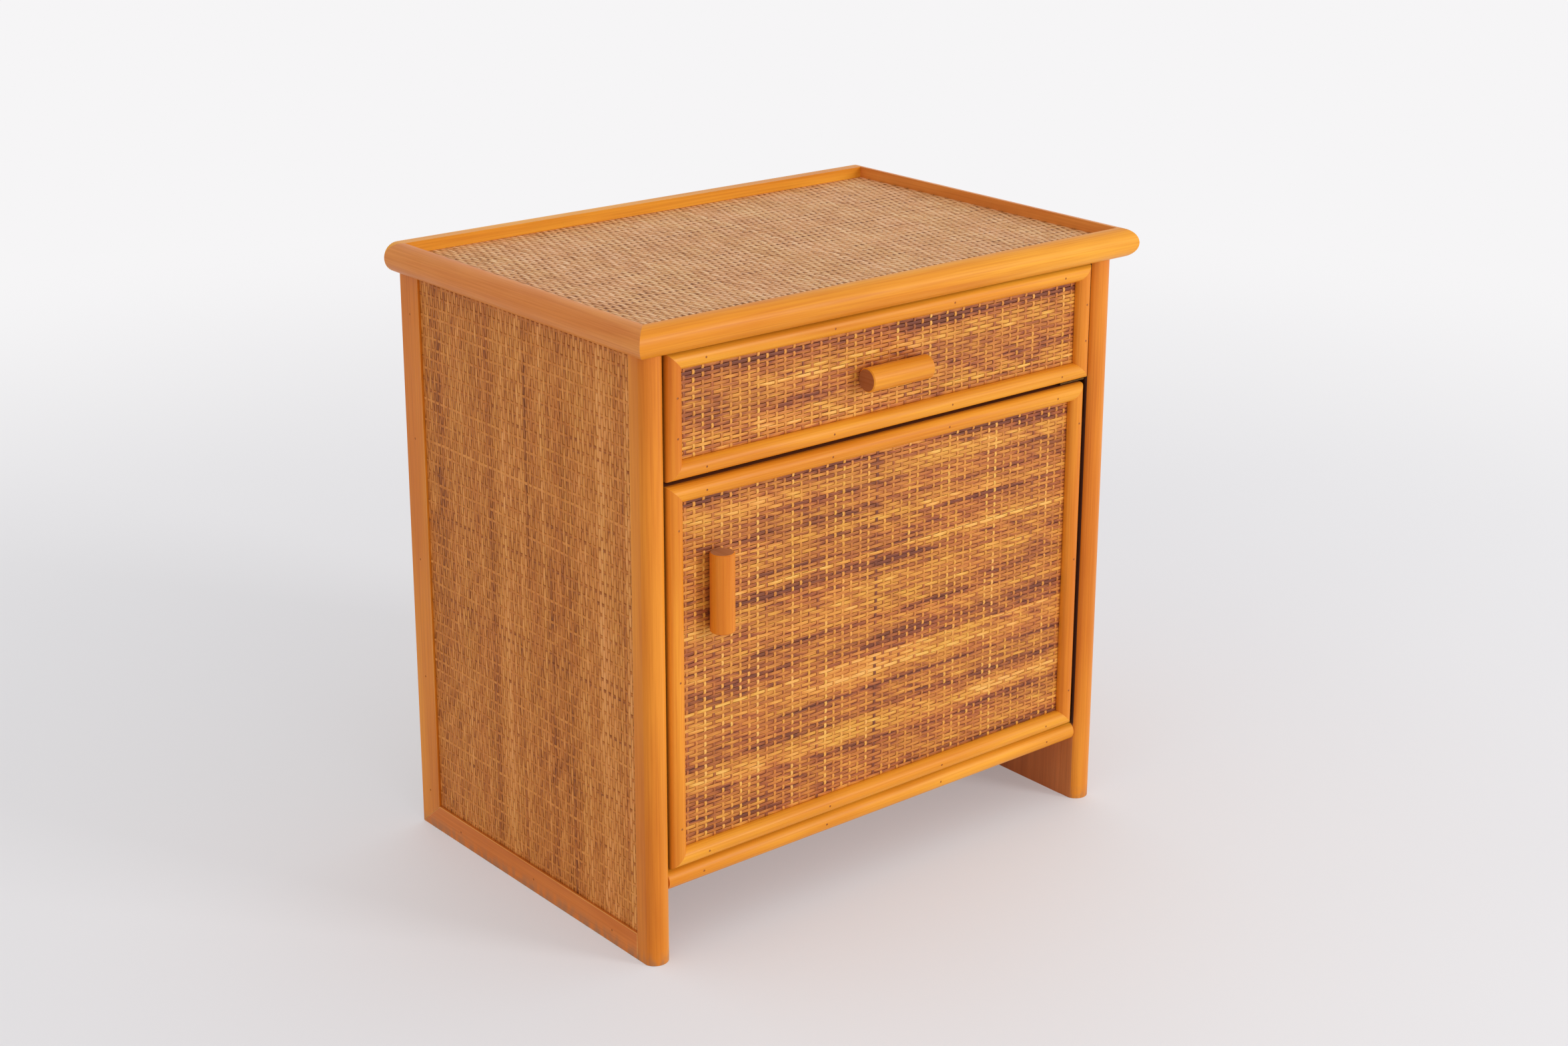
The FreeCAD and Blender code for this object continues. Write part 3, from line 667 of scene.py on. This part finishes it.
side_streaks = (
    (0.98, 0.02, 0.15, *WHOLE), (0.91, 0.03, 0.12, 0.3, 1.2), (0.81, 0.02, -0.12, *WHOLE),
    (0.71, 0.006, 0.24, 0.78, 1.0), (0.71, 0.006, 0.24, 0.25, 0.37), (0.485, 0.006, 0.28, 0.57, 0.94),
    (0.37, 0.03, -0.10, *WHOLE), (0.27, 0.006, 0.22, 0.5, 0.71), (0.27, 0.006, 0.20, 0.1, 0.15),
    (0.14, 0.015, -0.16, *WHOLE), (0.04, 0.008, 0.26, *WHOLE))
top_streaks = ((0.566, 0.004, 0.14, 0.02, 0.58), (0.05, 0.01, 0.10, *WHOLE))
print("streaks:", len(door_streaks), "on the door,", len(drawer_streaks), "on the drawer")

# %% The five mats
weaver_pitch = 3.55 * MM
weaver_width = 3.50 * MM
weaver_lift = 0.09 * MM
stake_pitch = 9.9 * MM
stake_width = 3.05 * MM
stake_lift = 0.50 * MM
stake_bands = 0.04
stake_steps = 2
stake_seed_step = 50


def make_mat(node, body, axes, outward, colours, streaks, look, stake_streaks=()):
    """Replace a flat mat by weavers along axes[0] and stakes along axes[1]."""
    low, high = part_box(node)
    run, cross = axes
    out_axis = 3 - run - cross
    mat = {"low": low, "out_axis": out_axis, "out_sign": outward,
           "base": low[out_axis] if outward > 0 else high[out_axis]}
    length, span = high[run] - low[run], high[cross] - low[cross]
    weavers, stakes = round(span / weaver_pitch), round(length / stake_pitch)
    weaver = look | {
        "axis": run, "cross_axis": cross, "count": weavers, "length": length, "span": span,
        "cross_pitch": length / stakes, "width": weaver_width, "lift": weaver_lift, "sign": 1.0,
        "streaks": streaks}
    stake = look | {
        "axis": cross, "cross_axis": run, "count": stakes, "length": span, "span": length,
        "cross_pitch": span / weavers, "width": stake_width, "lift": stake_lift, "sign": -1.0,
        "streaks": stake_streaks, "seed": look["seed"] + stake_seed_step, "tone": look["stake_tone"],
        "own": look["stake_own"], "bands": stake_bands}
    faces = 0
    kinds = (("weavers", weaver, stakes * look["steps"]), ("stakes", stake, weavers * stake_steps))
    for kind, wave, steps in kinds:
        name = f"{node}_{kind}"
        finish = rattan(name + "_rattan", wave["axis"], colours, look["tints"], look["shine"])
        mesh = roll_strands(name, mat, steps, wave)
        piece = close_strands(name, mesh, finish, body)
        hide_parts(node)
        faces += len(piece.data.polygons)
    print(node, weavers, "weavers,", stakes, "stakes,", faces, "faces")


# %% [markdown]
# ## Look of each mat
# A look holds the middle tone of weavers and stakes, how far single strands stray from it, how strong the
# bands, blotches and mottle are, how deep the painted shade in the dips is (depth), and how shiny the
# lacquer is. The numbers could sit in the calls; gathered by look, they let the fronts, the sides and the
# top be compared and tuned. The sides have long bands from end to end, the top has the deepest painted
# shade in its dips.

# %% Look of each mat
front_look = {
    "steps": 4, "tone": 0.52, "stake_tone": 0.46, "own": 0.08, "stake_own": 0.16, "bands": 0.07,
    "band_reach": 0.3, "blotch": 0.05, "mottle": 0.11, "depth": 0.12, "tints": strong_tints, "shine": 0.35}
side_look = {
    "steps": 4, "tone": 0.40, "stake_tone": 0.54, "own": 0.08, "stake_own": 0.07, "bands": 0.10,
    "band_reach": 1.4, "blotch": 0.03, "mottle": 0.08, "depth": 0.14, "tints": mild_tints, "shine": 0.25}
top_look = {
    "steps": 3, "tone": 0.16, "stake_tone": 0.62, "own": 0.06, "stake_own": 0.03, "bands": 0.02,
    "band_reach": 0.3, "blotch": 0.05, "mottle": 0.10, "depth": 0.42, "tints": mild_tints, "shine": 0.2}
make_mat("door_weave", "door", (X, Z), -1, front_colours, door_streaks,
         front_look | {"seed": 11}, door_stake_streaks)
make_mat("drawer_weave", "drawer", (X, Z), -1, front_colours, drawer_streaks,
         front_look | {"seed": 23, "tone": 0.45})
make_mat("left_side_weave", "carcass", (Z, Y), -1, side_colours, side_streaks,
         side_look | {"seed": 37})
make_mat("right_side_weave", "carcass", (Z, Y), 1, side_colours, side_streaks,
         side_look | {"seed": 41})
make_mat("top_weave", "carcass", (Y, X), 1, top_colours_with_painted_sheen, top_streaks,
         top_look | {"seed": 53})

# %% [markdown]
# ## Boards behind the scenes
# Behind the mats and inside the cupboard are stained boards, thin plywood and pale sanded wood. They are
# seen only between strands, under the cabinet or when it is open. Their solids keep their shapes and
# take a quieter wood finish with the grain along each board.

# %% Boards behind the scenes
board_ring_scale = (40.0, 2.2)
board_fibre_scale = (700.0, 14.0)
board_fibre_shade = (0.80, 0.76, 0.70, 1.0)


def plain_wood(name, axis, light, deep, roughness):
    """Unlacquered wood with its grain along one axis."""
    finish, tree, shader = new_finish(name)
    tone = stretched_noise(tree, along_axis(axis, *board_ring_scale), detail=3.0)
    fibre = stretched_noise(tree, along_axis(axis, *board_fibre_scale), detail=4.0, rough=0.65)
    streak = ramp(tree, fibre, ((0.32, board_fibre_shade), (0.62, UNCHANGED)))
    body = ramp(tree, tone, ((0.3, deep), (0.7, light)))
    fill(tree, shader.inputs["Base Color"], mix_colour(tree, 0.8, body, streak, "MULTIPLY"))
    gloss = add_node(tree, "MapRange", Value=fibre, To_Min=roughness - 0.05, To_Max=roughness + 0.1)
    fill(tree, shader.inputs["Roughness"], gloss.outputs[0])
    relief = add_node(tree, "Bump", Strength=0.2, Distance=0.4 * MM, Height=fibre)
    fill(tree, shader.inputs["Normal"], relief.outputs[0])
    return finish


def dress(nodes, finish):
    """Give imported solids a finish."""
    for node in nodes:
        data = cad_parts[node].data
        data.materials.clear()
        data.materials.append(finish)


# %% Dressed boards
stained_tones = (srgb(220, 132, 66), srgb(192, 108, 50))
pale_tones = (srgb(214, 172, 122), srgb(190, 142, 92))
backing = plain_wood("dark_backing", X, srgb(142, 78, 42), srgb(112, 58, 30), 0.6)
stained = {axis: plain_wood(f"stained_board_{AXES[axis]}", axis, *stained_tones, 0.55) for axis in (X, Z)}
pale = {axis: plain_wood(f"pale_wood_{AXES[axis]}", axis, *pale_tones, 0.6) for axis in (X, Y)}
ply = plain_wood("plywood", Z, srgb(196, 150, 102), srgb(170, 122, 78), 0.65)
board_finishes = [backing, *stained.values(), *pale.values(), ply]
dress(("top_board", "drawer_board", "door_board"), backing)
dress(("left_side_board", "right_side_board"), stained[Z])
dress(("floor_panel", "divider_panel"), stained[X])
dress(("left_top_cleat", "right_top_cleat", "left_drawer_runner", "right_drawer_runner",
       "drawer_left_side", "drawer_right_side"), pale[Y])
dress(("drawer_back", "drawer_stop_block", "panel_dowels", "drawer_dowels"), pale[X])
dress(("back_panel", "drawer_bottom"), ply)
print("boards dressed with", [finish.name for finish in board_finishes])

# %% [markdown]
# ## Inner faces of the posts
# The posts were stained together with the boards on their inner faces. Below the rail those are brown;
# above it, in the gaps beside the drawer and the door, they are painted nearly black as painted shade of
# the narrow gaps. The face could be cut in two at the rail. A finish that darkens with the height leaves
# the mesh as it is.

# %% Inner faces of the posts
fade_height = 4 * MM
inner_facing = 0.88
rail_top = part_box("bottom_rail")[1][Z]


def paint_shade_above(finish, level, dark):
    """Darken a finish above a height, with a soft change just below it."""
    tree = finish.node_tree
    socket = tree.nodes["Principled BSDF"].inputs["Base Color"]
    below = socket.links[0].from_socket
    above = add_node(tree, "MapRange", Value=height_above_floor(tree), From_Min=level - fade_height,
                     From_Max=level).outputs[0]
    fill(tree, socket, mix_colour(tree, above, below, dark))


post_inside = plain_wood("post_inner_face", Z, srgb(222, 136, 70), srgb(196, 114, 54), 0.7)
# Painted shade: the inner faces turn nearly black above the rail, for the narrow gaps beside the drawer
# and the door.
paint_shade_above(post_inside, rail_top, srgb(70, 38, 22))
for post, inward in (("left_front_post", 1), ("right_front_post", -1)):
    data = bpy.data.objects["soft_" + post].data
    data.materials.append(post_inside)
    for face in data.polygons:
        if face.normal.x * inward > inner_facing:
            face.material_index = SPECIAL_SLOT
print("posts dark inside above", round(rail_top, 4), "m")

# %% [markdown]
# ## Metal and plastic
# Screws, nails, the strike plate and the pivots are zinc-plated steel, the hinge brackets and bushes are
# browned brass, and the catch and the washer are brown plastic. The heads of the moulding pins are
# covered with stained filler and lacquer and show as small brown dots. One function serves all of them,
# because they differ only in colour, gloss and whether they are metal.

# %% Metal and plastic
metal_cloud_scale = (180.0, 180.0, 180.0)
scratch_scale = (900.0, 900.0, 60.0)


def metal(name, light, deep, roughness, metallic):
    """Worn metal or plastic with small clouds of tone and fine scratches."""
    finish, tree, shader = new_finish(name)
    cloud = stretched_noise(tree, metal_cloud_scale, detail=4.0)
    fill(tree, shader.inputs["Base Color"], ramp(tree, cloud, ((0.35, deep), (0.65, light))))
    gloss = add_node(tree, "MapRange", Value=cloud, To_Min=roughness - 0.1, To_Max=roughness + 0.1)
    fill(tree, shader.inputs["Roughness"], gloss.outputs[0])
    scratch = stretched_noise(tree, scratch_scale, detail=2.0)
    relief = add_node(tree, "Bump", Strength=0.1, Distance=0.2 * MM, Height=scratch)
    fill(tree, shader.inputs["Normal"], relief.outputs[0])
    shader.inputs["Metallic"].default_value = metallic
    return finish


# %% Dressed fittings
zinc = metal("zinc_steel", srgb(196, 196, 192), srgb(160, 160, 158), 0.35, 1.0)
pin_head = metal("dark_pin", srgb(170, 98, 38), srgb(146, 80, 30), 0.6, 0.0)
brass = metal("dull_brass", srgb(124, 92, 54), srgb(94, 68, 40), 0.5, 1.0)
plastic = metal("brown_plastic", srgb(84, 52, 36), srgb(66, 40, 28), 0.45, 0.0)
dress(("panel_screws", "hinge_screws", "back_panel_nails", "drawer_screws", "door_screws",
       "catch_strike", "hinge_pivots"), zinc)
dress(("carcass_pins", "drawer_pins", "door_pins"), pin_head)
dress(("upper_hinge_bracket", "lower_hinge_bracket", "hinge_bushes"), brass)
dress(("magnet_catch", "hinge_washer"), plastic)
print("fittings dressed with", [finish.name for finish in (zinc, pin_head, brass, plastic)])
